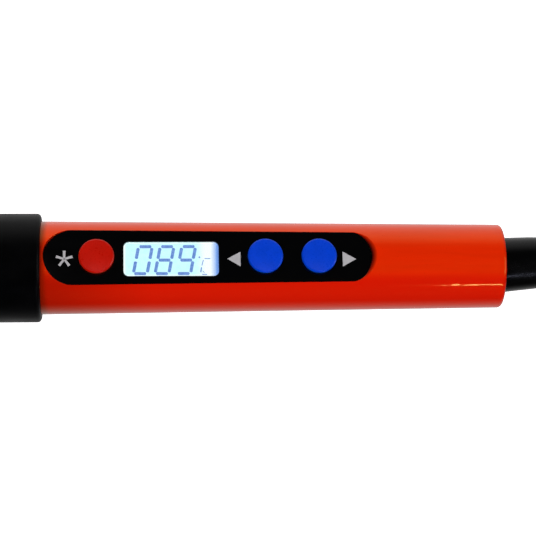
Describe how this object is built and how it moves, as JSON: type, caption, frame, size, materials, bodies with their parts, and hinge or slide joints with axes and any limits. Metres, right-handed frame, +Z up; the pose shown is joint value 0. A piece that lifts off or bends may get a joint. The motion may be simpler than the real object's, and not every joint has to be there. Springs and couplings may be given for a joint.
{
  "type": "waxing iron",
  "caption": "Pen-style heated iron: small flat metal sole, vented barrel, rubber grip with roll guard, tapered handle with lit temperature display and push buttons, mains cord in a tied hank.",
  "frame": {"origin": "on the surface the iron lies on, under the middle of the iron's own length, without its cord and plug", "axes": "+X along the handle from the sole to the cord, +Z up, out of the display"},
  "size_m": [0.4625, 0.0448, 0.0364],
  "materials": {
    "orange_plastic": "glossy",
    "panel_black": "mirror gloss",
    "clear_lens": "polished",
    "lcd_cell": "lit",
    "light_guide": "satin",
    "strip_rubber": "matt",
    "red_button": "satin",
    "blue_button": "satin",
    "black_plastic": "matt",
    "switch_steel": "pressed",
    "circuit_board": "solder mask",
    "capacitor_yellow": "satin",
    "capacitor_sleeve": "gloss",
    "zinc_steel": "zinc plated",
    "grip_rubber": "satin",
    "phenolic": "moulded",
    "mica": "flaky",
    "stainless": "drawn",
    "ceramic": "fired",
    "copper": "turned",
    "sole_aluminium": "ground",
    "black_steel": "black oxide",
    "white_sleeving": "braided",
    "blue_insulation": "matt",
    "brown_insulation": "matt",
    "green_insulation": "matt",
    "boot_rubber": "satin",
    "cord_jacket": "satin",
    "tie_fabric": "woven",
    "plug_plastic": "textured",
    "nickel": "nickel plated"
  },
  "bodies": {
    "handle": {"housing_tube": "orange_plastic", "panel_fascia": "panel_black", "display_lens": "clear_lens", "lcd_glass": "lcd_cell", "backlight_guide": "light_guide", "lcd_connector_strip": "strip_rubber", "power_switch": "switch_steel", "down_switch": "switch_steel", "up_switch": "switch_steel", "main_board": "circuit_board", "microcontroller": "black_plastic", "triac": "black_plastic", "film_capacitor": "capacitor_yellow", "electrolytic_capacitor": "capacitor_sleeve", "board_carrier": "black_plastic", "cord_clamp": "black_plastic", "clamp_screw_1": "zinc_steel", "clamp_screw_2": "zinc_steel", "grip_sleeve": "grip_rubber", "front_insert": "phenolic", "mica_washer": "mica", "heater_barrel": "stainless", "barrel_screw_1": "zinc_steel", "barrel_screw_2": "zinc_steel", "barrel_screw_3": "zinc_steel", "heating_element": "ceramic", "sole_shank": "copper", "sole_plate": "sole_aluminium", "tip_set_screw": "black_steel", "sole_set_screw": "black_steel", "heater_lead_1": "white_sleeving", "heater_lead_2": "white_sleeving", "sensor_lead_1": "blue_insulation", "sensor_lead_2": "blue_insulation", "live_lead": "brown_insulation", "neutral_lead": "blue_insulation", "earth_lead": "green_insulation", "strain_relief_boot": "boot_rubber", "cord_end": "cord_jacket", "cord_lead": "cord_jacket", "cord_hank": "cord_jacket", "cord_tail": "cord_jacket", "cord_tie_1": "tie_fabric", "cord_tie_2": "tie_fabric", "plug_body": "plug_plastic", "plug_pin_1": "nickel", "plug_pin_2": "nickel", "plug_earth_contact_1": "nickel", "plug_earth_contact_2": "nickel"},
    "power_key": {"power_button": "red_button", "power_plunger": "black_plastic"},
    "down_key": {"down_button": "blue_button", "down_plunger": "black_plastic"},
    "up_key": {"up_button": "blue_button", "up_plunger": "black_plastic"}
  },
  "joints": [
    {"name": "power_press", "type": "slide", "parent": "handle", "child": "power_key", "axis": [-0.0473, 0, -0.9989], "range_m": [0, 0.0005], "stiffness_N_per_m": 4000, "springref_m": -0.0001},
    {"name": "down_press", "type": "slide", "parent": "handle", "child": "down_key", "axis": [-0.0473, 0, -0.9989], "range_m": [0, 0.0005], "stiffness_N_per_m": 4000, "springref_m": -0.0001},
    {"name": "up_press", "type": "slide", "parent": "handle", "child": "up_key", "axis": [-0.0473, 0, -0.9989], "range_m": [0, 0.0005], "stiffness_N_per_m": 4000, "springref_m": -0.0001}
  ]
}
